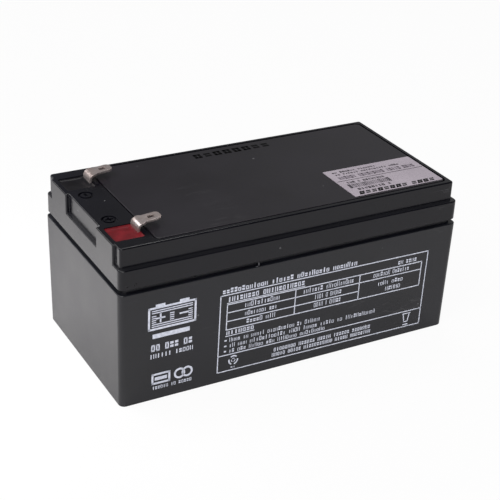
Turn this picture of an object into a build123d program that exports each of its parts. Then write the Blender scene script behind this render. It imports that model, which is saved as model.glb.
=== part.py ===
from build123d import *
import os

# Sealed lead acid battery, six cells in two rows of three, in millimetres.
# X runs along the length with the terminal end at -X, Y runs across the width
# with the positive terminal at -Y, and Z points up from the middle of the base.

# Container
length = 134.0
width = 67.0
shoulder_height = 43.5
base_inset = 0.5
corner_radius = 2.2
base_edge_radius = 0.4
shoulder_edge_radius = 0.3
floor_thickness = 2.2
wall_thickness = 2.7
shoulder_step = 1.5
wall_rise = 6.5
partition_thickness = 1.5
cell_corner_radius = 0.8

# Joint between the container and the lid
joint_gap = 1.65
joint_clearance = 0.15
sealant_thickness = 1.0
channel_depth = 2.2

# Lid
collar_height = 7.25
collar_inset = 0.3
collar_edge_radius = 0.45
skirt_edge_radius = 0.25
step_height = 7.25
step_inset = 2.0
step_corner_radius = 1.0
top_edge_radius = 0.55
ear_inner_from_side = 20.1
ear_outer_from_side = 5.9
ear_corner_radius = 0.6
ear_root_radius = 0.25
end_recess_depth = 1.3
corner_notch_depth = 0.9
deck_skin = 1.8
channel_rib = 1.3

# Cover plate over the valves
cover_thickness = 2.0
cover_from_end = 15.15
cover_gap = 0.6
cover_rim = 1.6
cover_corner_radius = 1.8
cover_edge_radius = 0.25
seat_width = 1.6
chamber_rib = 5.0
chamber_depth = 3.9
chamber_corner_radius = 1.5

# Valves
nozzle_radius = 2.5
nozzle_bore_radius = 0.8
cap_radius = 3.7
cap_top = 0.8
cap_lift = 0.3
cap_keeper_height = 0.3
cap_keeper_radius = 2.2
cap_edge_chamfer = 0.4

# Terminal wells and the resin that fills them
well_from_end = 7.3
well_from_side = 12.7
well_length = 10.6
well_width = 10.4
well_corner_radius = 1.0
well_depth = 5.5
resin_drop = 0.25
meniscus_depth = 0.55
meniscus_width = 0.9
meniscus_edge = 0.05

# Terminal tabs and posts
tab_shift = 1.7
tab_thickness = 0.8
tab_width = 6.0
tab_inner_radius = 1.0
tab_foot_overhang = 2.6
leg_from_end = 11.6
blade_width = 4.75
blade_reach = 9.25
blade_lift = 2.9
blade_tilt = 7.0
blade_shoulder = 2.8
blade_tip_cut = 1.0
blade_slot_length = 2.5
blade_slot_width = 1.15
blade_slot_radius = 0.3
blade_slot_from_tip = 2.3
post_radius = 2.5
post_hole_clearance = 0.1
post_neck_radius = 1.6
post_boss_radius = 4.2
solder_radius = 2.3
solder_height = 0.8
solder_edge_chamfer = 0.5

# Polarity marks
mark_from_end = 6.45
mark_from_well = 10.6
mark_radius = 2.75
mark_line = 0.85
mark_bar = 3.0
mark_depth = 0.6

# Plates, separators and straps of one cell
positive_count = 4
positive_thickness = 2.8
negative_thickness = 2.0
stack_clearance = 0.15
plate_end_clearance = 1.2
separator_end_clearance = 0.6
frame_border = 1.8
paste_recess = 0.2
separator_overhang = 2.2
separator_top_clearance = 0.3
lug_width = 5.0
lug_thickness = 1.6
strap_width = 6.6
strap_thickness = 3.0
strap_top_clearance = 0.4
strap_edge_radius = 0.6
flag_width = 7.0
weld_radius = 1.35

# Film label on the cover
label_right_inset = 0.4
label_front_inset = 1.1
label_length = 37.6
label_width = 22.2
label_thickness = 0.12
label_corner_radius = 0.4

# Heights that follow from the sizes above
wall_top = shoulder_height + wall_rise
channel_roof = wall_top + sealant_thickness
rib_bottom = channel_roof - channel_depth
skirt_bottom = shoulder_height + joint_gap
collar_top = skirt_bottom + collar_height
lid_top = collar_top + step_height
seat_height = lid_top - cover_thickness
chamber_floor = seat_height - chamber_depth
deck_under = chamber_floor - deck_skin
well_floor = lid_top - well_depth
strap_top = rib_bottom - strap_top_clearance
strap_bottom = strap_top - strap_thickness
separator_top = strap_bottom - separator_top_clearance
plate_top = separator_top - separator_overhang

# Plan sizes that follow
collar_length = length - 2 * collar_inset
collar_width = width - 2 * collar_inset
upstand_length = length - 2 * shoulder_step
upstand_width = width - 2 * shoulder_step
cell_length = (length - 2 * wall_thickness - 2 * partition_thickness) / 3
cell_width = (width - 2 * wall_thickness - partition_thickness) / 2
column_pitch = cell_length + partition_thickness
row_offset = (cell_width + partition_thickness) / 2
step_left = -collar_length / 2
step_right = length / 2 - step_inset
step_front = width / 2 - step_inset
cover_left = -length / 2 + cover_from_end
cover_right = step_right - cover_rim - cover_gap
cover_front = step_front - cover_rim - cover_gap
cover_length = cover_right - cover_left
cover_width = 2 * cover_front
cover_centre_x = (cover_left + cover_right) / 2

# Cells in the order of the current: front row left to right, back row right to left.
# Each entry is the centre of a cell and the X direction of its positive strap.
cells = [
    (-column_pitch, -row_offset, -1),
    (0.0, -row_offset, -1),
    (column_pitch, -row_offset, -1),
    (column_pitch, row_offset, 1),
    (0.0, row_offset, 1),
    (-column_pitch, row_offset, 1),
]
cell_centres = [(x, y) for x, y, side in cells]

# Places measured from the terminal end and the sides
ear_inner = width / 2 - ear_inner_from_side
ear_outer = width / 2 - ear_outer_from_side
well_centre_x = -length / 2 + well_from_end
well_centre_y = width / 2 - well_from_side
leg_face_x = -length / 2 + leg_from_end
mark_x = -length / 2 + mark_from_end
mark_y = well_centre_y - mark_from_well

# The straps of the end cells stand under the posts, so the distance of every
# strap from the middle of its cell follows from the place of the terminal wells.
strap_offset = -column_pitch - well_centre_x
weld_height = (strap_bottom + strap_top) / 2
terminals = {
    "positive": -well_centre_y + tab_shift,
    "negative": well_centre_y + tab_shift,
}
wells = {"positive": -well_centre_y, "negative": well_centre_y}

# Stack of plates across a cell, a negative plate at each end
negative_count = positive_count + 1
separator_thickness = (
    cell_width
    - 2 * stack_clearance
    - positive_count * positive_thickness
    - negative_count * negative_thickness
) / (2 * positive_count)
plate_pitch = positive_thickness + negative_thickness + 2 * separator_thickness
positive_rows = [(i - (positive_count - 1) / 2) * plate_pitch for i in range(positive_count)]
negative_rows = [(i - positive_count / 2) * plate_pitch for i in range(negative_count)]
plate_width = cell_length - 2 * plate_end_clearance
separator_width = cell_length - 2 * separator_end_clearance

made = []


def finish(piece, label):
    """Name a piece and keep it for writing."""
    piece.part.label = label
    made.append(piece.part)


# Plan of the channels under the lid that take the tops of the walls and partitions
ring_outer = (
    upstand_length + 2 * joint_clearance,
    upstand_width + 2 * joint_clearance,
)
with BuildSketch() as channel_plan:
    RectangleRounded(*ring_outer, corner_radius)
    with Locations(*cell_centres):
        RectangleRounded(
            cell_length - 2 * joint_clearance,
            cell_width - 2 * joint_clearance,
            cell_corner_radius,
            mode=Mode.SUBTRACT,
        )

# Plan of the lid's upper step: two ears stand flush with the collar at the
# terminal end, with a shallow recess between them and a notch at each corner
with BuildSketch() as step_plan:
    with Locations(((step_left + step_right) / 2, 0)):
        Rectangle(step_right - step_left, 2 * step_front)
    with Locations((step_left + end_recess_depth / 2, 0)):
        Rectangle(end_recess_depth, 2 * ear_inner, mode=Mode.SUBTRACT)
    notch_width = step_front - ear_outer
    with Locations(
        (step_left + corner_notch_depth / 2, step_front - notch_width / 2),
        (step_left + corner_notch_depth / 2, -step_front + notch_width / 2),
    ):
        Rectangle(corner_notch_depth, notch_width, mode=Mode.SUBTRACT)
    corners = step_plan.vertices().group_by(Axis.X)
    fillet(corners[2] + corners[1].sort_by(Axis.Y)[1:3], ear_root_radius)
    fillet(step_plan.vertices().group_by(Axis.X)[0], ear_corner_radius)
    sides = step_plan.vertices().group_by(Axis.Y)
    fillet(sides[0] + sides[-1], step_corner_radius)

# Partition welds: the two cells that each one joins, and its place and axis
welds = [
    (1, 2, Plane(origin=(-column_pitch / 2, -row_offset, weld_height), z_dir=(1, 0, 0))),
    (2, 3, Plane(origin=(column_pitch / 2, -row_offset, weld_height), z_dir=(1, 0, 0))),
    (3, 4, Plane(origin=(column_pitch + strap_offset, 0, weld_height), z_dir=(0, 1, 0))),
    (4, 5, Plane(origin=(column_pitch / 2, row_offset, weld_height), z_dir=(1, 0, 0))),
    (5, 6, Plane(origin=(-column_pitch / 2, row_offset, weld_height), z_dir=(1, 0, 0))),
]

# Container: a tapered box with six cells and a stepped rim
with BuildPart() as container:
    with BuildSketch():
        RectangleRounded(length - 2 * base_inset, width - 2 * base_inset, corner_radius)
    with BuildSketch(Plane.XY.offset(shoulder_height)):
        RectangleRounded(length, width, corner_radius)
    loft()
    fillet(container.faces().sort_by(Axis.Z)[0].edges(), base_edge_radius)
    fillet(container.faces().sort_by(Axis.Z)[-1].edges(), shoulder_edge_radius)
    with BuildSketch(Plane.XY.offset(shoulder_height)):
        RectangleRounded(upstand_length, upstand_width, corner_radius)
    extrude(amount=wall_rise)
    with BuildSketch(Plane.XY.offset(floor_thickness)):
        with Locations(*cell_centres):
            RectangleRounded(cell_length, cell_width, cell_corner_radius)
    extrude(amount=wall_top - floor_thickness, mode=Mode.SUBTRACT)
    for first, second, plane in welds:
        with BuildSketch(plane):
            Circle(weld_radius)
        extrude(amount=partition_thickness, both=True, mode=Mode.SUBTRACT)
finish(container, "container")

# Adhesive over the tops of the walls and partitions
with BuildPart() as lid_sealant:
    with BuildSketch(Plane.XY.offset(wall_top)):
        add(channel_plan.sketch)
    extrude(amount=sealant_thickness)
finish(lid_sealant, "lid_sealant")

# Chambers for the valves, each from a corner of the seat to the ribs between cells
chamber_left = cover_left - cover_gap + seat_width
chamber_right = cover_right + cover_gap - seat_width
chamber_front = cover_front + cover_gap - seat_width
chamber_spans = [
    (chamber_left, -column_pitch / 2 - chamber_rib / 2),
    (-column_pitch / 2 + chamber_rib / 2, column_pitch / 2 - chamber_rib / 2),
    (column_pitch / 2 + chamber_rib / 2, chamber_right),
]
chamber_width = chamber_front - chamber_rib / 2
chamber_y = (chamber_front + chamber_rib / 2) / 2

# Lid: collar, upper step, cover seat, valve chambers and terminal wells
with BuildPart() as lid:
    with BuildSketch(Plane.XY.offset(skirt_bottom)):
        RectangleRounded(collar_length, collar_width, corner_radius)
    extrude(amount=collar_height)
    fillet(lid.faces().sort_by(Axis.Z)[-1].edges(), collar_edge_radius)
    fillet(lid.faces().sort_by(Axis.Z)[0].edges(), skirt_edge_radius)
    with BuildSketch(Plane.XY.offset(collar_top - collar_edge_radius)):
        add(step_plan.sketch)
    extrude(amount=step_height + collar_edge_radius)
    fillet(lid.faces().sort_by(Axis.Z)[-1].edges(), top_edge_radius)
    with BuildSketch(Plane.XY.offset(skirt_bottom)):
        RectangleRounded(*ring_outer, corner_radius)
    extrude(amount=rib_bottom - skirt_bottom, mode=Mode.SUBTRACT)
    with BuildSketch(Plane.XY.offset(rib_bottom)):
        add(channel_plan.sketch)
    extrude(amount=channel_depth, mode=Mode.SUBTRACT)
    with BuildSketch(Plane.XY.offset(rib_bottom)):
        with Locations(*cell_centres):
            RectangleRounded(
                cell_length - 2 * (joint_clearance + channel_rib),
                cell_width - 2 * (joint_clearance + channel_rib),
                cell_corner_radius,
            )
        with Locations(*[(well_centre_x, y) for y in terminals.values()]):
            Circle(post_boss_radius, mode=Mode.SUBTRACT)
    extrude(amount=deck_under - rib_bottom, mode=Mode.SUBTRACT)
    with BuildSketch(Plane.XY.offset(seat_height)):
        with Locations((cover_centre_x, 0)):
            RectangleRounded(
                cover_length + 2 * cover_gap,
                cover_width + 2 * cover_gap,
                cover_corner_radius + cover_gap,
            )
    extrude(amount=cover_thickness, mode=Mode.SUBTRACT)
    with BuildSketch(Plane.XY.offset(chamber_floor)):
        for start, end in chamber_spans:
            with Locations(((start + end) / 2, chamber_y), ((start + end) / 2, -chamber_y)):
                RectangleRounded(end - start, chamber_width, chamber_corner_radius)
    extrude(amount=seat_height - chamber_floor, mode=Mode.SUBTRACT)
    nozzle_top = seat_height - cap_keeper_height - cap_top
    with BuildSketch(Plane.XY.offset(chamber_floor)):
        with Locations(*cell_centres):
            Circle(nozzle_radius)
    extrude(amount=nozzle_top - chamber_floor)
    with BuildSketch(Plane.XY.offset(deck_under)):
        with Locations(*cell_centres):
            Circle(nozzle_bore_radius)
    extrude(amount=nozzle_top - deck_under, mode=Mode.SUBTRACT)
    with BuildSketch(Plane.XY.offset(well_floor)):
        with Locations(*[(well_centre_x, y) for y in wells.values()]):
            RectangleRounded(well_length, well_width, well_corner_radius)
    extrude(amount=lid_top - well_floor, mode=Mode.SUBTRACT)
    with BuildSketch(Plane.XY.offset(rib_bottom)):
        with Locations(*[(well_centre_x, y) for y in terminals.values()]):
            Circle(post_radius + post_hole_clearance)
    extrude(amount=well_floor - rib_bottom, mode=Mode.SUBTRACT)
    with BuildSketch(Plane.XY.offset(lid_top - mark_depth)):
        with Locations((mark_x, mark_y), (mark_x, -mark_y)):
            Circle(mark_radius)
            Circle(mark_radius - mark_line, mode=Mode.SUBTRACT)
            Rectangle(mark_line, mark_bar)
        with Locations((mark_x, -mark_y)):
            Rectangle(mark_bar, mark_line)
    extrude(amount=mark_depth, mode=Mode.SUBTRACT)
finish(lid, "lid")

# Cover plate, with a low boss that holds each valve cap down
with BuildPart() as vent_cover:
    with BuildSketch(Plane.XY.offset(seat_height)):
        with Locations((cover_centre_x, 0)):
            RectangleRounded(cover_length, cover_width, cover_corner_radius)
    extrude(amount=cover_thickness)
    fillet(vent_cover.faces().sort_by(Axis.Z)[-1].edges(), cover_edge_radius)
    with BuildSketch(Plane.XY.offset(seat_height - cap_keeper_height)):
        with Locations(*cell_centres):
            Circle(cap_keeper_radius)
    extrude(amount=cap_keeper_height)
finish(vent_cover, "vent_cover")

# Rubber valve caps, one over each nozzle
for number, (cell_x, cell_y) in enumerate(cell_centres, start=1):
    with BuildPart() as valve_cap:
        with BuildSketch(Plane.XY.offset(chamber_floor + cap_lift)):
            with Locations((cell_x, cell_y)):
                Circle(cap_radius)
        extrude(amount=nozzle_top + cap_top - chamber_floor - cap_lift)
        chamfer(valve_cap.faces().sort_by(Axis.Z)[-1].edges(), cap_edge_chamfer)
        with BuildSketch(Plane.XY.offset(chamber_floor + cap_lift)):
            with Locations((cell_x, cell_y)):
                Circle(nozzle_radius)
        extrude(amount=nozzle_top - chamber_floor - cap_lift, mode=Mode.SUBTRACT)
    finish(valve_cap, f"valve_cap_{number}")

# Terminal tabs: a foot over the post, a leg up out of the resin and a blade
leg_x = leg_face_x + tab_thickness / 2
foot_z = well_floor + tab_thickness / 2
bend_radius = tab_inner_radius + tab_thickness / 2
blade_z = lid_top + blade_lift - tab_thickness / 2
tip_x = leg_face_x + blade_reach
shoulder_x = leg_face_x + blade_shoulder
blade_slope = Vector(1, 0, 0).rotate(Axis.Y, -blade_tilt)
rise_per_mm = blade_slope.Z / blade_slope.X
corner_z = blade_z - rise_per_mm * bend_radius
tip_z = corner_z + rise_per_mm * (tip_x - leg_x)
foot_end_x = well_centre_x - tab_foot_overhang
tab_rise = tip_z + tab_thickness - well_floor

for polarity, tab_y in terminals.items():
    with BuildPart() as post:
        with BuildSketch(Plane.XY.offset(strap_top)):
            with Locations((well_centre_x, tab_y)):
                Circle(post_radius)
        extrude(amount=well_floor - strap_top)
        with BuildSketch(Plane.XY.offset(well_floor)):
            with Locations((well_centre_x, tab_y)):
                Circle(post_neck_radius)
        extrude(amount=tab_thickness)
        with BuildSketch(Plane.XY.offset(well_floor + tab_thickness)):
            with Locations((well_centre_x, tab_y)):
                Circle(solder_radius)
        extrude(amount=solder_height)
        chamfer(post.faces().sort_by(Axis.Z)[-1].edges(), solder_edge_chamfer)

    with BuildPart() as terminal:
        with BuildLine(Plane.XZ.offset(-tab_y)) as tab_path:
            FilletPolyline(
                (foot_end_x, foot_z),
                (leg_x, foot_z),
                (leg_x, corner_z),
                (tip_x, tip_z),
                radius=bend_radius,
            )
        foot_end = Plane(origin=(foot_end_x, tab_y, foot_z), x_dir=(0, 1, 0), z_dir=(1, 0, 0))
        with BuildSketch(foot_end):
            Rectangle(tab_width, tab_thickness)
        sweep(path=tab_path.line)
        with BuildSketch(Plane.XY.offset(well_floor)) as strip_plan:
            with Locations(((foot_end_x + shoulder_x) / 2, tab_y)):
                Rectangle(shoulder_x - foot_end_x, tab_width)
            with Locations(((shoulder_x + tip_x) / 2, tab_y)):
                Rectangle(tip_x - shoulder_x, blade_width)
            chamfer(strip_plan.vertices().group_by(Axis.X)[-1], blade_tip_cut)
            with Locations((tip_x - blade_slot_from_tip - blade_slot_length / 2, tab_y)):
                RectangleRounded(
                    blade_slot_length,
                    blade_slot_width,
                    blade_slot_radius,
                    mode=Mode.SUBTRACT,
                )
            with Locations((well_centre_x, tab_y)):
                Circle(post_neck_radius, mode=Mode.SUBTRACT)
        extrude(amount=tab_rise, mode=Mode.INTERSECT)

    resin_top = lid_top - resin_drop
    with BuildPart() as resin:
        with BuildSketch(Plane.XY.offset(well_floor)):
            with Locations((well_centre_x, wells[polarity])):
                RectangleRounded(well_length, well_width, well_corner_radius)
        extrude(amount=resin_top - well_floor)
        with BuildSketch(Plane.XY.offset(resin_top)):
            with Locations((well_centre_x, wells[polarity])):
                RectangleRounded(
                    well_length - 2 * meniscus_edge,
                    well_width - 2 * meniscus_edge,
                    well_corner_radius,
                )
        with BuildSketch(Plane.XY.offset(resin_top - meniscus_depth)):
            with Locations((well_centre_x, wells[polarity])):
                RectangleRounded(
                    well_length - 2 * meniscus_width,
                    well_width - 2 * meniscus_width,
                    well_corner_radius,
                )
        loft(mode=Mode.SUBTRACT)
        add(terminal.part, mode=Mode.SUBTRACT)
        add(post.part, mode=Mode.SUBTRACT)

    finish(post, f"{polarity}_post")
    finish(terminal, f"{polarity}_terminal")
    finish(resin, f"{polarity}_resin")

# Plate groups: plates, lugs and cast strap of each cell and polarity
for number, (cell_x, cell_y, side) in enumerate(cells, start=1):
    groups = {
        "positive": (positive_rows, positive_thickness, side, floor_thickness + separator_thickness),
        "negative": (negative_rows, negative_thickness, -side, floor_thickness),
    }
    for polarity, (rows, thickness, end, bottom) in groups.items():
        places = [(cell_x, cell_y + row) for row in rows]
        strap_x = cell_x + end * strap_offset
        lug_places = [(strap_x, cell_y + row) for row in rows]
        strap_length = rows[-1] - rows[0] + thickness
        plate_height = plate_top - bottom
        with BuildPart() as group:
            with BuildSketch(Plane.XY.offset(strap_bottom)):
                with Locations((strap_x, cell_y)):
                    Rectangle(strap_width, strap_length)
            extrude(amount=strap_thickness)
            fillet(group.edges().filter_by(Axis.Z), strap_edge_radius)
            for first, second, plane in welds:
                joins_here = (polarity == "negative" and number == first) or (
                    polarity == "positive" and number == second
                )
                if joins_here and plane.z_dir.X != 0:
                    wall_x = cell_x + end * cell_length / 2
                    with BuildSketch(Plane.XY.offset(strap_bottom)):
                        with Locations(((strap_x + wall_x) / 2, cell_y)):
                            Rectangle(abs(wall_x - strap_x), flag_width)
                    extrude(amount=strap_thickness)
                elif joins_here:
                    wall_y = cell_y - (1 if cell_y > 0 else -1) * cell_width / 2
                    with BuildSketch(Plane.XY.offset(strap_bottom)):
                        with Locations((strap_x, (cell_y + wall_y) / 2)):
                            Rectangle(strap_width - 2 * strap_edge_radius, abs(wall_y - cell_y))
                    extrude(amount=strap_thickness)
            with BuildSketch(Plane.XY.offset(bottom)):
                with Locations(*places):
                    Rectangle(plate_width, thickness)
            extrude(amount=plate_height)
            with BuildSketch(Plane.XY.offset(bottom + frame_border)):
                for row in rows:
                    with Locations(
                        (cell_x, cell_y + row - thickness / 2),
                        (cell_x, cell_y + row + thickness / 2),
                    ):
                        Rectangle(plate_width - 2 * frame_border, 2 * paste_recess)
            extrude(amount=plate_height - 2 * frame_border, mode=Mode.SUBTRACT)
            with BuildSketch(Plane.XY.offset(plate_top)):
                with Locations(*lug_places):
                    Rectangle(lug_width, lug_thickness)
            extrude(amount=strap_bottom - plate_top)
        finish(group, f"cell_{number}_{polarity}_plates")

    # Glass mat, folded under and up both sides of each positive plate
    with BuildPart() as separators:
        fold_outer = positive_thickness + 2 * separator_thickness
        with BuildSketch(Plane.XY.offset(floor_thickness)):
            with Locations(*[(cell_x, cell_y + row) for row in positive_rows]):
                Rectangle(separator_width, fold_outer)
        extrude(amount=separator_top - floor_thickness)
        with BuildSketch(Plane.XY.offset(floor_thickness + separator_thickness)):
            with Locations(*[(cell_x, cell_y + row) for row in positive_rows]):
                Rectangle(separator_width, positive_thickness)
        extrude(amount=separator_top - floor_thickness, mode=Mode.SUBTRACT)
    finish(separators, f"cell_{number}_separators")

# Lead welds through the partitions, from strap to strap
for first, second, plane in welds:
    with BuildPart() as weld:
        with BuildSketch(plane):
            Circle(weld_radius)
        extrude(amount=partition_thickness / 2, both=True)
    finish(weld, f"intercell_weld_{first}_{second}")

# Film label near the front right corner of the cover
with BuildPart() as top_label:
    with BuildSketch(Plane.XY.offset(lid_top)):
        with Locations(
            (
                cover_right - label_right_inset - label_length / 2,
                -cover_front + label_front_inset + label_width / 2,
            )
        ):
            RectangleRounded(label_length, label_width, label_corner_radius)
    extrude(amount=label_thickness)
finish(top_label, "top_label")

os.makedirs("parts", exist_ok=True)
for piece in made:
    export_step(piece, f"parts/{piece.label}.step")
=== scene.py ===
"""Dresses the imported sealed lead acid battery.

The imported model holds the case, the lid, the vent cover, the tabs, the resin and what is sealed
inside. This script gives each of them its finish and adds what is printed, stuck, poured or
smeared on them. Lengths are in metres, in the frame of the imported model: X along the length with
the terminals at -X, Y across the width, Z up from the surface that the battery stands on.
"""

import logging
import math
from dataclasses import dataclass
from enum import Enum

import bmesh
import bpy
from mathutils import Matrix, Vector, noise
from mathutils.bvhtree import BVHTree


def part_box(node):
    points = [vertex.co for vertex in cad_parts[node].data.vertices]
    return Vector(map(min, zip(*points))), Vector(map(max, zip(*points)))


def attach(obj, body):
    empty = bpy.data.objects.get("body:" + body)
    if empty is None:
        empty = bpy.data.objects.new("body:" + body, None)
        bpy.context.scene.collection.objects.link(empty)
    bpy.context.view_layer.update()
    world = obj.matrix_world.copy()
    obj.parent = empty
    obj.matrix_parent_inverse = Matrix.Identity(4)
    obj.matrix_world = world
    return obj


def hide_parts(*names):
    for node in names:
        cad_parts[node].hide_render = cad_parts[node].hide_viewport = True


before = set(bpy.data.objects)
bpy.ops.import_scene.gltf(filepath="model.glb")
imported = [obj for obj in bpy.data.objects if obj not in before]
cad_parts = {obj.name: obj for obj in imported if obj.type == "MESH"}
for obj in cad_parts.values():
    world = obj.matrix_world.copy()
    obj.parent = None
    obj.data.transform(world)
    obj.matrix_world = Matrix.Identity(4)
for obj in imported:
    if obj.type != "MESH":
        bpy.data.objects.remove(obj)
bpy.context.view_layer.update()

log = logging.getLogger("battery")

MM = 0.001
ROOT = "root"

Colour = tuple[float, float, float, float]
Point = tuple[float, float]
Place = tuple[float, float, float]
Segment = tuple[Point, Point]
Box = tuple[float, float, float, float]
Socket = bpy.types.NodeSocket
Material = bpy.types.Material
Materials = dict[str, bpy.types.Material]
Mesh = bpy.types.Mesh


def srgb(red: int, green: int, blue: int) -> Colour:
    """Turn a screen colour into the linear colour that shaders use.

    Args:
        red: Red from 0 to 255.
        green: Green from 0 to 255.
        blue: Blue from 0 to 255.

    Returns:
        The linear colour with an alpha of 1.
    """

    def linear(value: int) -> float:
        """Return one channel in linear light."""
        share = value / 255
        return share / 12.92 if share <= 0.04045 else ((share + 0.055) / 1.055) ** 2.4

    return (linear(red), linear(green), linear(blue), 1.0)


class Graph:
    """Short ways to add nodes to a tree and to join them."""

    def __init__(self, tree: bpy.types.NodeTree) -> None:
        """Keep the tree that nodes are added to."""
        self.tree = tree

    def fill(self, node: bpy.types.Node, inputs: dict) -> None:
        """Fill a node's inputs.

        Args:
            node: The node.
            inputs: Input name or number to a value, or to a socket that is linked.
        """
        for name, value in inputs.items():
            if isinstance(value, Socket):
                self.tree.links.new(value, node.inputs[name])
            else:
                node.inputs[name].default_value = value

    def add(self, kind: str, inputs: dict | None = None, **settings: object) -> bpy.types.Node:
        """Add a node, set its properties and fill its inputs.

        Args:
            kind: The node's type name.
            inputs: What the node's inputs are filled with.
            **settings: Properties of the node.

        Returns:
            The new node.
        """
        made = self.tree.nodes.new(kind)
        for name, value in settings.items():
            setattr(made, name, value)
        self.fill(made, inputs or {})
        return made

    def math(self, operation: str, *values: object, clamp: bool = False) -> Socket:
        """Add a Math node and return its result.

        Args:
            operation: The operation's name, such as MULTIPLY.
            *values: Numbers or sockets, in the node's order.
            clamp: Whether the result is kept from 0 to 1.

        Returns:
            The output socket.
        """
        made = self.add("ShaderNodeMath", dict(enumerate(values)), operation=operation, use_clamp=clamp)
        return made.outputs[0]

    def blend(self, share: object, first: object, second: object) -> Socket:
        """Return the mix of two colours, with that share of the second."""
        return self.add("ShaderNodeMix", {0: share, 6: first, 7: second}, data_type="RGBA").outputs[2]

    def between(self, value: object, low: object, high: object) -> Socket:
        """Return a value from 0..1 mapped onto low..high."""
        return self.add("ShaderNodeMix", {0: value, 2: low, 3: high}, data_type="FLOAT").outputs[0]

    def step(self, value: object, start: object, end: object) -> Socket:
        """Return a smooth rise from 0 to 1 while the value goes from start to end."""
        ends = {"Value": value, "From Min": start, "From Max": end}
        return self.add("ShaderNodeMapRange", ends, interpolation_type="SMOOTHSTEP").outputs["Result"]

    def cloud(self, place: Socket, scale: object, detail: float = 2.0) -> Socket:
        """Return a noise of that scale and detail."""
        inputs = {"Vector": place, "Scale": scale, "Detail": detail}
        return self.add("ShaderNodeTexNoise", inputs).outputs[0]

    def draw(self, low: object, high: object, seed: object) -> Socket:
        """Return a random number from low to high for each point."""
        inputs = {2: low, 3: high, "Seed": seed}
        return self.add("FunctionNodeRandomValue", inputs, data_type="FLOAT").outputs[1]

    def vector(self, x: object, y: object, z: object) -> Socket:
        """Return the three numbers as one vector."""
        return self.add("ShaderNodeCombineXYZ", {0: x, 1: y, 2: z}).outputs[0]


def shader_group(
    name: str, output: str, inputs: dict[str, float]
) -> tuple[Graph, dict[str, Socket], Socket]:
    """Start a shader node group that takes a place and puts out one value.

    Args:
        name: The group's name.
        output: The name of the value that the group puts out.
        inputs: Name of each number that the group takes, to its default.

    Returns:
        The group's graph, what it takes by name, with the place as Vector, and the output to feed.
    """
    tree = bpy.data.node_groups.new(name, "ShaderNodeTree")
    tree.interface.new_socket("Vector", in_out="INPUT", socket_type="NodeSocketVector")
    for label, default in inputs.items():
        number = tree.interface.new_socket(label, in_out="INPUT", socket_type="NodeSocketFloat")
        number.default_value = default
    tree.interface.new_socket(output, in_out="OUTPUT", socket_type="NodeSocketFloat")
    graph = Graph(tree)
    entry = graph.add("NodeGroupInput")
    leave = graph.add("NodeGroupOutput")
    return graph, {label: entry.outputs[label] for label in ("Vector", *inputs)}, leave.inputs[output]


class SharedEffects:
    """Shader groups that more than one finish places."""

    def __init__(self) -> None:
        """Build each group once."""
        self.trees = {
            "grain": self._grain(),
            "mottle": self._mottle(),
            "specks": self._specks(),
            "scuffs": self._scuffs(),
        }

    @staticmethod
    def _grain() -> bpy.types.NodeTree:
        """Return a group whose height is a fine moulded grain over a faint long waviness."""
        graph, take, give = shader_group("moulded_grain", "Height", {"Scale": 3000.0, "Waviness": 0.2})
        fine = graph.cloud(take["Vector"], take["Scale"], 3.0)
        pits = graph.add("ShaderNodeTexVoronoi", {"Vector": take["Vector"], "Scale": take["Scale"]})
        long_wave = graph.cloud(take["Vector"], 60.0, 1.0)
        cells = graph.between(0.35, fine, pits.outputs["Distance"])
        height = graph.math("MULTIPLY_ADD", long_wave, take["Waviness"], cells)
        graph.tree.links.new(height, give)
        return graph.tree

    @staticmethod
    def _mottle() -> bpy.types.NodeTree:
        """Return a group whose value drifts slowly from 0 to 1 over the surface."""
        graph, take, give = shader_group("mottle", "Value", {"Scale": 60.0, "Contrast": 2.0})
        centred = graph.math("SUBTRACT", graph.cloud(take["Vector"], take["Scale"], 4.0), 0.5)
        graph.tree.links.new(graph.math("MULTIPLY_ADD", centred, take["Contrast"], 0.5, clamp=True), give)
        return graph.tree

    @staticmethod
    def _specks() -> bpy.types.NodeTree:
        """Return a group whose mask is a few small round specks, on a share of its cells."""
        graph, take, give = shader_group("specks", "Mask", {"Scale": 200.0, "Radius": 0.12, "Share": 0.1})
        cells = graph.add("ShaderNodeTexVoronoi", {"Vector": take["Vector"], "Scale": take["Scale"]})
        near = graph.math("LESS_THAN", cells.outputs["Distance"], take["Radius"])
        pick = graph.add("ShaderNodeSeparateColor", {"Color": cells.outputs["Color"]})
        chosen = graph.math("LESS_THAN", pick.outputs[0], take["Share"])
        graph.tree.links.new(graph.math("MULTIPLY", near, chosen), give)
        return graph.tree

    @staticmethod
    def _scuffs() -> bpy.types.NodeTree:
        """Return a group whose mask is thin rubbed streaks that come and go."""
        graph, take, give = shader_group("scuffs", "Mask", {"Scale": 40.0, "Amount": 0.3})
        slant = {"Vector": take["Vector"], "Rotation": (0.3, 0.5, 0.7), "Scale": (1.0, 9.0, 5.0)}
        turned = graph.add("ShaderNodeMapping", slant).outputs[0]
        lines = graph.cloud(turned, take["Scale"], 5.0)
        ridge = graph.math("ABSOLUTE", graph.math("SUBTRACT", lines, 0.5))
        thin = graph.math("SUBTRACT", 1.0, graph.step(ridge, 0.0, 0.012))
        patches = graph.cloud(take["Vector"], take["Scale"])
        both = graph.math("MULTIPLY", thin, graph.step(patches, 0.55, 0.7))
        graph.tree.links.new(graph.math("MULTIPLY", both, take["Amount"]), give)
        return graph.tree


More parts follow.
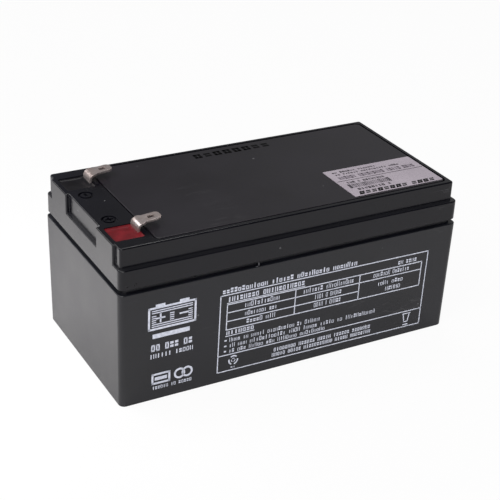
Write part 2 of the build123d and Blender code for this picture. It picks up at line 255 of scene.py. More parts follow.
class Skin:
    """A material under way, with a Principled shader on Object coordinates."""

    def __init__(self, name: str, shared: SharedEffects) -> None:
        """Start the material.

        Args:
            name: The material's name.
            shared: The shared shader groups.
        """
        self.material = bpy.data.materials.new(name)
        self.material.use_nodes = True
        self.material.node_tree.nodes.clear()
        self.shared = shared
        self.graph = Graph(self.material.node_tree)
        self.shader = self.graph.add("ShaderNodeBsdfPrincipled")
        self.graph.add("ShaderNodeOutputMaterial", {"Surface": self.shader.outputs[0]})
        self.place = self.graph.add("ShaderNodeTexCoord").outputs["Object"]

    def effect(self, kind: str, stretch: Place | None = None, **values: float) -> Socket:
        """Place a shared effect.

        Args:
            kind: The effect's name.
            stretch: How the pattern's space is scaled along each axis, if it is.
            **values: The effect's inputs.

        Returns:
            What the effect puts out.
        """
        place = self.place
        if stretch:
            place = self.graph.add("ShaderNodeMapping", {"Vector": place, "Scale": stretch}).outputs[0]
        tree = self.shared.trees[kind]
        return self.graph.add("ShaderNodeGroup", {"Vector": place, **values}, node_tree=tree).outputs[0]

    def feed(self, inputs: dict[str, object]) -> None:
        """Fill the shader's inputs from numbers or sockets."""
        self.graph.fill(self.shader, inputs)

    def bump(self, height: Socket, depth: float) -> None:
        """Feed a height from 0 to 1, with its full depth, into the shader's normal."""
        node = self.graph.add("ShaderNodeBump", {"Height": height, "Distance": depth, "Strength": 1.0})
        self.feed({"Normal": node.outputs[0]})


@dataclass(frozen=True)
class Finish:
    """What every finish has: a name, and a material that its own paint covers."""

    name: str

    def build(self, shared: SharedEffects) -> Material:
        """Build the material.

        Args:
            shared: The shared shader groups.

        Returns:
            The material.
        """
        skin = Skin(self.name, shared)
        self.paint(skin)
        return skin.material

    def paint(self, skin: Skin) -> None:
        """Give the skin its colour, gloss and relief."""
        raise NotImplementedError


@dataclass(frozen=True)
class MouldedPlastic(Finish):
    """Black moulded plastic with a satin grain, drifting shade, rubbed streaks and dust.

    A ledge is a height along which a thin band is painted light, lifting the shade of the crease there.
    """

    dark: Colour = srgb(8, 9, 14)
    light: Colour = srgb(14, 15, 22)
    # Pale colour for the rubbed streaks, the dust and the painted light along the ledge.
    dust_and_ledge_light: Colour = srgb(150, 150, 152)
    smooth: float = 0.3
    rough: float = 0.38
    grain_scale: float = 2600.0
    grain_depth: float = 0.006 * MM
    specular: float = 0.5
    scuff: float = 0.3
    scuff_pale: float = 0.25
    scuff_dull: float = 0.15
    dust_share: float = 0.06
    dust_pale: float = 0.2
    ledge: float = 0.0
    ledge_light_share: float = 0.03

    def paint(self, skin: Skin) -> None:
        """Lay on the shade, the streaks, the dust, the painted light along the ledge and the grain.

        Args:
            skin: The material under way.
        """
        graph = skin.graph
        shade = skin.effect("mottle", Scale=45.0, Contrast=2.2)
        streaks = skin.effect("scuffs", Scale=30.0, Amount=self.scuff)
        dust = skin.effect("specks", Scale=260.0, Radius=0.11, Share=self.dust_share)
        colour = graph.blend(shade, self.dark, self.light)
        colour = graph.blend(graph.math("MULTIPLY", streaks, self.scuff_pale), colour, self.dust_and_ledge_light)
        colour = graph.blend(graph.math("MULTIPLY", dust, self.dust_pale), colour, self.dust_and_ledge_light)
        # Painted light: from just below the ledge's height, fading out by 0.6 mm above it, the colour is
        # painted paler to lift the shade in the crease there.
        if self.ledge:
            height = graph.add("ShaderNodeSeparateXYZ", {0: skin.place}).outputs["Z"]
            above = graph.step(height, self.ledge - 0.07 * MM, self.ledge - 0.01 * MM)
            below = graph.step(height, self.ledge + 0.05 * MM, self.ledge + 0.6 * MM)
            painted_ledge_light = graph.math("MULTIPLY", above, graph.math("SUBTRACT", 1.0, below))
            colour = graph.blend(graph.math("MULTIPLY", painted_ledge_light, self.ledge_light_share), colour, self.dust_and_ledge_light)
        gloss = graph.between(shade, self.smooth, self.rough)
        gloss = graph.math("MULTIPLY_ADD", streaks, self.scuff_dull, gloss)
        skin.feed({"Base Color": colour, "Roughness": gloss, "Specular IOR Level": self.specular})
        skin.bump(skin.effect("grain", Scale=self.grain_scale, Waviness=0.5), self.grain_depth)


@dataclass(frozen=True)
class PrintInk(Finish):
    """Screen printed ink, a little thin in places."""

    full: Colour = srgb(206, 209, 221)
    thin: Colour = srgb(172, 176, 189)
    roughness: float = 0.5
    thin_roughness: float = 0.62

    def paint(self, skin: Skin) -> None:
        """Lay the ink on, thicker and thinner.

        Args:
            skin: The material under way.
        """
        graph = skin.graph
        cover = skin.effect("mottle", Scale=900.0, Contrast=2.5)
        gloss = graph.between(cover, self.thin_roughness, self.roughness)
        skin.feed({"Base Color": graph.blend(cover, self.thin, self.full), "Roughness": gloss})
        skin.bump(cover, 0.003 * MM)


@dataclass(frozen=True)
class LabelFilm(Finish):
    """Silver grey film with a fine brushed sheen and a few soft wrinkles."""

    tone: Colour = srgb(166, 157, 166)
    shade: Colour = srgb(148, 139, 148)
    smooth: float = 0.36
    rough: float = 0.52
    metallic: float = 0.15
    brushing: Place = (0.08, 1.0, 1.0)

    def paint(self, skin: Skin) -> None:
        """Lay on the sheen and the wrinkles.

        Args:
            skin: The material under way.
        """
        graph = skin.graph
        drift = skin.effect("mottle", Scale=70.0, Contrast=1.8)
        fibre = skin.effect("mottle", self.brushing, Scale=5000.0, Contrast=1.5)
        mixed = graph.math("MULTIPLY_ADD", fibre, 0.3, graph.math("MULTIPLY", drift, 0.7))
        gloss = graph.between(fibre, self.smooth, self.rough)
        skin.feed({"Base Color": graph.blend(mixed, self.shade, self.tone), "Roughness": gloss,
                   "Metallic": self.metallic})
        skin.bump(drift, 0.03 * MM)


@dataclass(frozen=True)
class PottingResin(Finish):
    """Poured resin, semi gloss, with cloudy colour and a few small bubbles."""

    deep: Colour
    bright: Colour
    roughness: float
    cloud_scale: float = 260.0
    specular: float = 0.5
    bubble_shade: float = 0.35
    bubble_depth: float = 0.6

    def paint(self, skin: Skin) -> None:
        """Lay on the clouds and the bubbles.

        Args:
            skin: The material under way.
        """
        graph = skin.graph
        cloud = skin.effect("mottle", Scale=self.cloud_scale, Contrast=2.4)
        bubbles = skin.effect("specks", Scale=900.0, Radius=0.2, Share=0.08)
        body = graph.blend(cloud, self.deep, self.bright)
        colour = graph.blend(graph.math("MULTIPLY", bubbles, self.bubble_shade), body, self.deep)
        gloss = graph.between(cloud, self.roughness, self.roughness + 0.15)
        skin.feed({"Base Color": colour, "Roughness": gloss, "Specular IOR Level": self.specular})
        pitted = graph.math("SUBTRACT", cloud, graph.math("MULTIPLY", bubbles, self.bubble_depth))
        skin.bump(pitted, 0.02 * MM)


@dataclass(frozen=True)
class TinPlate(Finish):
    """Dull tin plate on stamped strip, with warm stain, fine rolling lines and rubbed spots."""

    clean: Colour = srgb(214, 203, 201)
    stain: Colour = srgb(160, 143, 138)
    smooth: float = 0.25
    rough: float = 0.4
    metallic: float = 0.9
    rolling: Place = (0.1, 1.0, 0.1)

    def paint(self, skin: Skin) -> None:
        """Lay on the plate, the stain and the rolling lines.

        Args:
            skin: The material under way.
        """
        graph = skin.graph
        cloud = skin.effect("mottle", Scale=380.0, Contrast=2.6)
        lines = skin.effect("mottle", self.rolling, Scale=6000.0, Contrast=2.0)
        spots = skin.effect("specks", Scale=1500.0, Radius=0.25, Share=0.12)
        plate = graph.blend(graph.math("MULTIPLY", cloud, 0.8), self.clean, self.stain)
        colour = graph.blend(graph.math("MULTIPLY", spots, 0.5), plate, self.stain)
        gloss = graph.math("MULTIPLY_ADD", lines, 0.08, graph.between(cloud, self.smooth, self.rough))
        skin.feed({"Base Color": colour, "Roughness": gloss, "Metallic": self.metallic})
        skin.bump(graph.math("MULTIPLY_ADD", lines, 0.4, cloud), 0.003 * MM)


@dataclass(frozen=True)
class RoughLead(Finish):
    """Lead in one of its forms inside the cells: cast, or a grid with dried paste."""

    tone: Colour
    shade: Colour
    metallic: float = 0.6
    roughness: float = 0.6

    def paint(self, skin: Skin) -> None:
        """Lay on the drifting tone and the lumps.

        Args:
            skin: The material under way.
        """
        graph = skin.graph
        cloud = skin.effect("mottle", Scale=200.0, Contrast=2.5)
        gloss = graph.between(cloud, self.roughness + 0.15, self.roughness)
        skin.feed({"Base Color": graph.blend(cloud, self.shade, self.tone), "Roughness": gloss,
                   "Metallic": self.metallic})
        skin.bump(skin.effect("grain", Scale=700.0, Waviness=0.3), 0.05 * MM)


@dataclass(frozen=True)
class GlassMat(Finish):
    """White glass fibre mat, a felt of fine crossed fibres."""

    tone: Colour = srgb(232, 232, 228)
    damp: Colour = srgb(205, 207, 205)

    def paint(self, skin: Skin) -> None:
        """Lay on the felt.

        Args:
            skin: The material under way.
        """
        graph = skin.graph
        drift = skin.effect("mottle", Scale=90.0, Contrast=2.0)
        fibres = skin.effect("scuffs", Scale=900.0, Amount=1.0)
        gloss = graph.between(fibres, 0.9, 0.7)
        skin.feed({"Base Color": graph.blend(drift, self.damp, self.tone), "Roughness": gloss})
        skin.bump(fibres, 0.04 * MM)


@dataclass(frozen=True)
class SoftRubber(Finish):
    """Dull black rubber with a bloom."""

    tone: Colour = srgb(34, 34, 35)
    bloom: Colour = srgb(62, 62, 63)

    def paint(self, skin: Skin) -> None:
        """Lay on the bloom and the grain.

        Args:
            skin: The material under way.
        """
        graph = skin.graph
        cloud = skin.effect("mottle", Scale=300.0, Contrast=2.0)
        gloss = graph.between(cloud, 0.6, 0.85)
        skin.feed({"Base Color": graph.blend(cloud, self.tone, self.bloom), "Roughness": gloss})
        skin.bump(skin.effect("grain", Scale=4000.0, Waviness=0.2), 0.01 * MM)


FINISHES = (
    MouldedPlastic("case_plastic"),
    # The lid's ledge at 52.4 mm gets a band of painted light that lifts the shade at the foot of the step.
    MouldedPlastic(
        "lid_plastic", dark=srgb(4, 4, 9), light=srgb(9, 9, 16), smooth=0.19, rough=0.27,
        grain_scale=2900.0, specular=0.36, ledge=52.4 * MM,
    ),
    MouldedPlastic(
        "cover_plastic", dark=srgb(15, 12, 18), light=srgb(22, 19, 26), specular=0.46, scuff=0.4,
        dust_share=0.05,
    ),
    # The stamped blocks are flat and painted near black with almost no reflection: painted shade for the
    # shading of raised moulded characters.
    MouldedPlastic(
        "stamp_painted_shade", dark=srgb(2, 2, 3), light=srgb(6, 6, 8), smooth=0.34, rough=0.42, specular=0.06,
        scuff=0.0, dust_share=0.0,
    ),
    PottingResin("adhesive_bead", srgb(7, 7, 9), srgb(14, 14, 17), 0.4, specular=0.2),
    PottingResin("dried_adhesive", srgb(66, 66, 70), srgb(100, 100, 104), 0.5),
    PottingResin("poured_red_resin", srgb(74, 3, 11), srgb(100, 8, 19), 0.46, specular=0.2),
    PottingResin("poured_black_resin", srgb(5, 4, 6), srgb(14, 13, 17), 0.3, 170.0, 0.22),
    TinPlate("tin_plate"),
    PrintInk("case_ink"),
    LabelFilm("silver_film"),
    PrintInk("label_ink", srgb(38, 33, 40), srgb(62, 55, 64)),
    PrintInk("label_grey_ink", srgb(86, 78, 88), srgb(108, 99, 109)),
    PrintInk("label_bold_ink", srgb(14, 12, 16), srgb(30, 27, 33)),
    RoughLead("lead_casting", srgb(150, 152, 158), srgb(104, 106, 112)),
    RoughLead("positive_plate_paste", srgb(92, 62, 50), srgb(58, 38, 32), metallic=0.0, roughness=0.75),
    RoughLead("negative_plate_paste", srgb(128, 130, 134), srgb(92, 94, 99), metallic=0.2, roughness=0.7),
    GlassMat("glass_felt"),
    SoftRubber("valve_rubber"),
    PrintInk("dust_fibre", srgb(205, 203, 205), srgb(165, 163, 165), 0.8, 0.92),
)


def build_finishes() -> Materials:
    """Build every finish once and return the materials by name."""
    shared = SharedEffects()
    return {finish.name: finish.build(shared) for finish in FINISHES}


class GrowthTree:
    """A Geometry Nodes tree with named inputs, run once on a mesh to give a plain mesh."""

    def __init__(self, name: str, numbers: tuple[str, ...], counts: tuple[str, ...] = ()) -> None:
        """Start the tree.

        Args:
            name: The tree's name.
            numbers: Names of the inputs that are numbers.
            counts: Names of the inputs that are whole numbers.
        """
        tree = bpy.data.node_groups.new(name, "GeometryNodeTree")
        kinds = {"Geometry": "Geometry", **dict.fromkeys(numbers, "Float"), **dict.fromkeys(counts, "Int")}
        kinds["Material"] = "Material"
        for label, kind in kinds.items():
            tree.interface.new_socket(label, in_out="INPUT", socket_type=f"NodeSocket{kind}")
        tree.interface.new_socket("Geometry", in_out="OUTPUT", socket_type="NodeSocketGeometry")
        self.graph = Graph(tree)
        entry = self.graph.add("NodeGroupInput")
        self.take = {socket.name: socket for socket in entry.outputs if socket.name}
        self.leave = self.graph.add("NodeGroupOutput")

    def close(self, geometry: Socket) -> None:
        """End the tree with real geometry and its material.

        Args:
            geometry: What the tree has made.
        """
        real = self.graph.add("GeometryNodeRealizeInstances", {"Geometry": geometry})
        dressed = self.graph.add(
            "GeometryNodeSetMaterial", {"Geometry": real.outputs[0], "Material": self.take["Material"]}
        )
        self.graph.tree.links.new(dressed.outputs[0], self.leave.inputs[0])

    def run(self, seed_mesh: Mesh, values: dict[str, object]) -> Mesh:
        """Run the tree on a mesh.

        Args:
            seed_mesh: The mesh that the tree starts from.
            values: Input name to its value.

        Returns:
            The result as a plain mesh.
        """
        holder = bpy.data.objects.new(seed_mesh.name, seed_mesh)
        bpy.context.scene.collection.objects.link(holder)
        modifier = holder.modifiers.new("grow", "NODES")
        modifier.node_group = self.graph.tree
        for item in self.graph.tree.interface.items_tree:
            if item.item_type == "SOCKET" and item.in_out == "INPUT" and item.name in values:
                modifier[item.identifier] = values[item.name]
        depsgraph = bpy.context.evaluated_depsgraph_get()
        grown = bpy.data.meshes.new_from_object(holder.evaluated_get(depsgraph))
        holder.modifiers.remove(modifier)
        bpy.data.objects.remove(holder)
        grown.materials.clear()
        grown.materials.append(values["Material"])
        return grown


class RuledLines(GrowthTree):
    """Printed lines: a flat strip along each edge of the mesh."""

    def __init__(self) -> None:
        """Build the tree."""
        super().__init__("ruled_lines", ("Width", "Thickness"))
        graph, take = self.graph, self.take
        paths = graph.add("GeometryNodeMeshToCurve", {"Mesh": take["Geometry"]})
        level = graph.add("GeometryNodeSetCurveNormal", {"Curve": paths.outputs[0]}, mode="Z_UP")
        strip = graph.add(
            "GeometryNodeCurvePrimitiveQuadrilateral", {"Width": take["Width"], "Height": take["Thickness"]}
        )
        sheet = graph.add(
            "GeometryNodeCurveToMesh",
            {"Curve": level.outputs[0], "Profile Curve": strip.outputs[0], "Fill Caps": True},
        )
        self.close(sheet.outputs[0])


class LetterBlocks(GrowthTree):
    """Rows of blocks: at each point one of four plain shapes, never a letter."""

    short_share: float = 0.32
    dice_seed: int = 7

    def __init__(self) -> None:
        """Build the tree."""
        super().__init__("letter_blocks", ("Thickness", "Weight"), ("Kinds", "Seed"))
        graph, take = self.graph, self.take
        weight = take["Weight"]
        side = graph.math("SUBTRACT", 0.5, graph.math("MULTIPLY", weight, 0.5))
        flat = graph.math("MULTIPLY", weight, 0.62)
        low = graph.math("MULTIPLY", flat, 0.5)
        uprights = (
            self._bar(graph.math("SUBTRACT", 0.0, side), 0.5, weight, 1.0),
            self._bar(side, 0.5, weight, 1.0),
        )
        spans = (self._bar(0.0, graph.math("SUBTRACT", 1.0, low), 1.0, flat), self._bar(0.0, low, 1.0, flat))
        post = (self._bar(0.0, 0.5, graph.math("MULTIPLY", weight, 1.35), 1.0),)
        stack = (self._bar(0.0, 0.76, 0.9, 0.36), self._bar(0.0, 0.24, 0.9, 0.36))
        kinds = graph.add("GeometryNodeGeometryToInstance")
        for shape in (post, uprights, uprights + spans, stack):
            whole = graph.add("GeometryNodeJoinGeometry")
            for bar in shape:
                graph.tree.links.new(bar, whole.inputs[0])
            graph.tree.links.new(whole.outputs[0], kinds.inputs[0])
        last = graph.math("SUBTRACT", take["Kinds"], 1.0)
        pick = graph.add("FunctionNodeRandomValue", {4: 0, 5: last, "Seed": take["Seed"]}, data_type="INT")
        lowered = graph.math("GREATER_THAN", graph.draw(0.0, 1.0, self.dice_seed), self.short_share)
        kept = graph.math("SUBTRACT", 1.0, graph.math("MULTIPLY", lowered, self._read("low")))
        height = graph.math("MULTIPLY", self._read("cell_height"), kept)
        size = graph.vector(self._read("cell_width"), height, take["Thickness"])
        placed = graph.add(
            "GeometryNodeInstanceOnPoints",
            {"Points": take["Geometry"], "Instance": kinds.outputs[0], "Pick Instance": True,
             "Instance Index": pick.outputs[2], "Scale": size},
        )
        self.close(placed.outputs[0])

    def _read(self, name: str) -> Socket:
        """Return a number that each point carries."""
        node = self.graph.add("GeometryNodeInputNamedAttribute", {"Name": name}, data_type="FLOAT")
        return node.outputs[0]

    def _bar(self, x: object, y: object, width: object, height: object) -> Socket:
        """Make one bar of a block, in a cell one wide, one high and one thick.

        Args:
            x: The bar's middle across the cell.
            y: The bar's middle up the cell.
            width: The bar's width.
            height: The bar's height.

        Returns:
            The bar's geometry socket.
        """
        graph = self.graph
        cube = graph.add("GeometryNodeMeshCube", {"Size": graph.vector(width, height, 1.0)})
        moved = {"Geometry": cube.outputs[0], "Translation": graph.vector(x, y, 0.0)}
        return graph.add("GeometryNodeTransform", moved).outputs[0]


class StripeRow(GrowthTree):
    """A row of upright stripes of uneven width at the points of the mesh."""

    def __init__(self) -> None:
        """Build the tree."""
        super().__init__("stripe_row", ("Narrow", "Wide", "Height", "Thickness"), ("Seed",))
        graph, take = self.graph, self.take
        width = graph.draw(take["Narrow"], take["Wide"], take["Seed"])
        size = graph.vector(width, take["Height"], take["Thickness"])
        cube = graph.add("GeometryNodeMeshCube", {"Size": (1.0, 1.0, 1.0)})
        placed = graph.add(
            "GeometryNodeInstanceOnPoints",
            {"Points": take["Geometry"], "Instance": cube.outputs[0], "Scale": size},
        )
        self.close(placed.outputs[0])


class SquashedBead(GrowthTree):
    """Adhesive squeezed out along a path: a round bead whose thickness wanders."""

    def __init__(self) -> None:
        """Build the tree."""
        super().__init__("squashed_bead", ("Radius", "Wander", "Step"))
        graph, take = self.graph, self.take
        path = graph.add("GeometryNodeMeshToCurve", {"Mesh": take["Geometry"]})
        even = graph.add(
            "GeometryNodeResampleCurve", {"Curve": path.outputs[0], "Length": take["Step"]}, mode="LENGTH"
        )
        place = graph.add("GeometryNodeInputPosition")
        centred = graph.math("SUBTRACT", graph.cloud(place.outputs[0], 180.0), 0.5)
        thickness = graph.math("MULTIPLY_ADD", centred, take["Wander"], 1.0)
        sized = graph.add("GeometryNodeSetCurveRadius", {"Curve": even.outputs[0], "Radius": thickness})
        ring = graph.add("GeometryNodeCurvePrimitiveCircle", {"Resolution": 8, "Radius": take["Radius"]})
        tube = graph.add(
            "GeometryNodeCurveToMesh",
            {"Curve": sized.outputs[0], "Profile Curve": ring.outputs[0], "Fill Caps": True},
        )
        self.close(tube.outputs[0])


def mesh_of(name: str, points: list[Vector], edges: list[tuple[int, int]]) -> Mesh:
    """Make a mesh of points and edges.

    Args:
        name: The mesh's name.
        points: The points.
        edges: Pairs of point numbers.

    Returns:
        The mesh.
    """
    mesh = bpy.data.meshes.new(name)
    mesh.from_pydata(points, edges, [])
    return mesh


def written(body: bmesh.types.BMesh, name: str) -> Mesh:
    """Write a finished body to a new mesh and free it.

    Args:
        body: The body.
        name: The new mesh's name.

    Returns:
        The mesh.
    """
    mesh = bpy.data.meshes.new(name)
    body.to_mesh(mesh)
    body.free()
    return mesh


def joined(name: str, meshes: list[Mesh]) -> Mesh:
    """Join meshes of one material into one mesh.

    Args:
        name: The new mesh's name.
        meshes: The meshes, with one material between them.

    Returns:
        The joined mesh.
    """
    whole = bmesh.new()
    for part in meshes:
        whole.from_mesh(part)
    mesh = written(whole, name)
    for material in meshes[0].materials:
        mesh.materials.append(material)
    return mesh


def place_piece(
    name: str, mesh: Mesh, material: Material | None = None, smooth: bool = False
) -> bpy.types.Object:
    """Make a finished piece of a mesh and let it ride on the battery.

    Args:
        name: The piece's name.
        mesh: Its mesh, already in place.
        material: Its material, where the mesh has none yet.
        smooth: Whether its faces are shaded smooth.

    Returns:
        The piece.
    """
    if material is not None:
        mesh.materials.clear()
        mesh.materials.append(material)
    for polygon in mesh.polygons:
        polygon.use_smooth = smooth
        polygon.material_index = 0
    mesh.name = name
    piece = bpy.data.objects.new(name, mesh)
    bpy.context.scene.collection.objects.link(piece)
    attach(piece, ROOT)
    log.info("%s: %d faces in %s", name, len(mesh.polygons), mesh.materials[0].name)
    return piece


def dress(node: str, material: Material) -> None:
    """Give a CAD node its material.

    Args:
        node: The node's name.
        material: The material.
    """
    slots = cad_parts[node].data.materials
    if slots:
        for index in range(len(slots)):
            slots[index] = material
    else:
        slots.append(material)
    log.info("%s: dressed in %s", node, material.name)


def rounded_outline(half: Point, radius: float, corner_steps: int, side_steps: int = 1) -> list[Point]:
    """Return a rounded rectangle about the origin, from its right side round.

    Args:
        half: Half its length and half its width.
        radius: The radius of its corners.
        corner_steps: How many steps each corner has.
        side_steps: How many steps each side has.

    Returns:
        The outline's points.
    """
    corners = []
    for turn, sides in enumerate(((1, 1), (-1, 1), (-1, -1), (1, -1))):
        x, y = (side * (reach - radius) for side, reach in zip(sides, half))
        angles = [math.radians(90 * (turn + index / corner_steps)) for index in range(corner_steps + 1)]
        corners.append([(x + radius * math.cos(angle), y + radius * math.sin(angle)) for angle in angles])
    points = []
    for corner, following in zip(corners, corners[1:] + corners[:1]):
        points += corner
        (x, y), (end_x, end_y) = corner[-1], following[0]
        shares = [index / side_steps for index in range(1, side_steps)]
        points += [(x + (end_x - x) * share, y + (end_y - y) * share) for share in shares]
    return points


@dataclass(frozen=True)
class TextRow:
    """A row of blocks, in millimetres.

    Args:
        left: Where it starts.
        right: Where it ends.
        base: Its base line.
        height: The height of its tall blocks.
        words: How many blocks each group has.
        low: How much lower its short blocks are, as a share.
        block_share: How much of its room a block takes.
        gap: The space between groups, in blocks.
    """

    left: float
    right: float
    base: float
    height: float
    words: tuple[int, ...]
    low: float = 0.26
    block_share: float = 0.78
    gap: float = 0.9

    def cells(self) -> list[tuple[float, float]]:
        """Return the middle and the width of each block along the row."""
        count = sum(self.words) + self.gap * (len(self.words) - 1)
        pitch = (self.right - self.left) / count
        places = []
        at = self.left
        for word in self.words:
            for _ in range(word):
                places.append((at + pitch / 2, pitch * self.block_share))
                at += pitch
            at += self.gap * pitch
        return places


@dataclass
class PrintKit:
    """Makes flat printed shapes in a plane: X along, Y up, Z out of the surface.

    What it is given is in millimetres.
    """

    lines: RuledLines
    blocks: LetterBlocks
    stripes: StripeRow
    thickness: float = 0.04 * MM
    arc_step: float = 12.0

    def rules(self, segments: list[Segment], width: float, ink: Material) -> Mesh:
        """Make straight printed lines, square at their ends.

        Args:
            segments: The two ends of each line.
            width: The lines' width.
            ink: The ink.

        Returns:
            The mesh.
        """
        points = []
        for first, second in segments:
            start, end = Vector((*first, 0.0)) * MM, Vector((*second, 0.0)) * MM
            reach = (end - start).normalized() * width * MM / 2
            points += [start - reach, end + reach]
        edges = [(index, index + 1) for index in range(0, len(points), 2)]
        return self._strips(mesh_of("rules", points, edges), width, ink)

    def arcs(self, centre: Point, radius: float, spans: list[Point], width: float, ink: Material) -> Mesh:
        """Make printed arcs about one centre.

        Args:
            centre: The centre.
            radius: The radius.
            spans: The first and last angle of each arc, in degrees.
            width: The arcs' width.
            ink: The ink.

        Returns:
            The mesh.
        """
        points = []
        edges = []
        for start, end in spans:
            steps = max(3, round(abs(end - start) / self.arc_step))
            for index in range(steps + 1):
                angle = math.radians(start + (end - start) * index / steps)
                if index:
                    edges.append((len(points) - 1, len(points)))
                at = (centre[0] + radius * math.cos(angle), centre[1] + radius * math.sin(angle), 0.0)
                points.append(Vector(at) * MM)
        return self._strips(mesh_of("arcs", points, edges), width, ink)

    def _strips(self, mesh: Mesh, width: float, ink: Material) -> Mesh:
        """Run the tree of lines on a mesh of edges."""
        return self.lines.run(mesh, {"Width": width * MM, "Thickness": self.thickness, "Material": ink})

    def text(
        self, rows: tuple[TextRow, ...], weight: float, seed: int, ink: Material, kinds: int = 4
    ) -> Mesh:
        """Make rows of blocks.

        Args:
            rows: The rows.
            weight: The width of a stroke, as a share of a block.
            seed: Which run of blocks is drawn.
            ink: The ink.
            kinds: How many kinds of block are used: 2 leaves out those that could be read as figures.

        Returns:
            The mesh.
        """
        cells = [(row, middle, width) for row in rows for middle, width in row.cells()]
        mesh = mesh_of("text_points", [Vector((middle, row.base, 0.0)) * MM for row, middle, _ in cells], [])
        values = {
            "cell_width": [width * MM for _, _, width in cells],
            "cell_height": [row.height * MM for row, _, _ in cells],
            "low": [row.low for row, _, _ in cells],
        }
        for name, numbers in values.items():
            mesh.attributes.new(name, "FLOAT", "POINT").data.foreach_set("value", numbers)
        settings = {"Thickness": self.thickness, "Weight": weight, "Kinds": kinds, "Seed": seed}
        return self.blocks.run(mesh, {**settings, "Material": ink})

    def bars(self, box: Box, pitch: float, seed: int, ink: Material) -> Mesh:
        """Make a row of uneven stripes.

        Args:
            box: The row's left and right end, and the stripes' lower and upper end.
            pitch: The distance between stripes.
            seed: Which run of widths is drawn.
            ink: The ink.

        Returns:
            The mesh.
        """
        left, right, low, high = box
        count = int((right - left) / pitch) + 1
        points = [Vector((left + pitch * i, (low + high) / 2, 0.0)) * MM for i in range(count)]
        settings = {"Narrow": 0.25 * pitch * MM, "Wide": 0.75 * pitch * MM, "Height": (high - low) * MM}
        settings |= {"Thickness": self.thickness, "Seed": seed, "Material": ink}
        return self.stripes.run(mesh_of("stripe_points", points, []), settings)


def frame_lines(left: float, right: float, low: float, high: float) -> list[Segment]:
    """Return the four sides of a rectangle as lines."""
    level = [((left, y), (right, y)) for y in (low, high)]
    return level + [((x, low), (x, high)) for x in (left, right)]


def turned_about(centre: Point, degrees: float) -> Matrix:
    """Return a turn in the print's own plane about a point given in millimetres."""
    middle = Matrix.Translation(Vector((*centre, 0.0)) * MM)
    return middle @ Matrix.Rotation(math.radians(degrees), 4, "Z") @ middle.inverted()


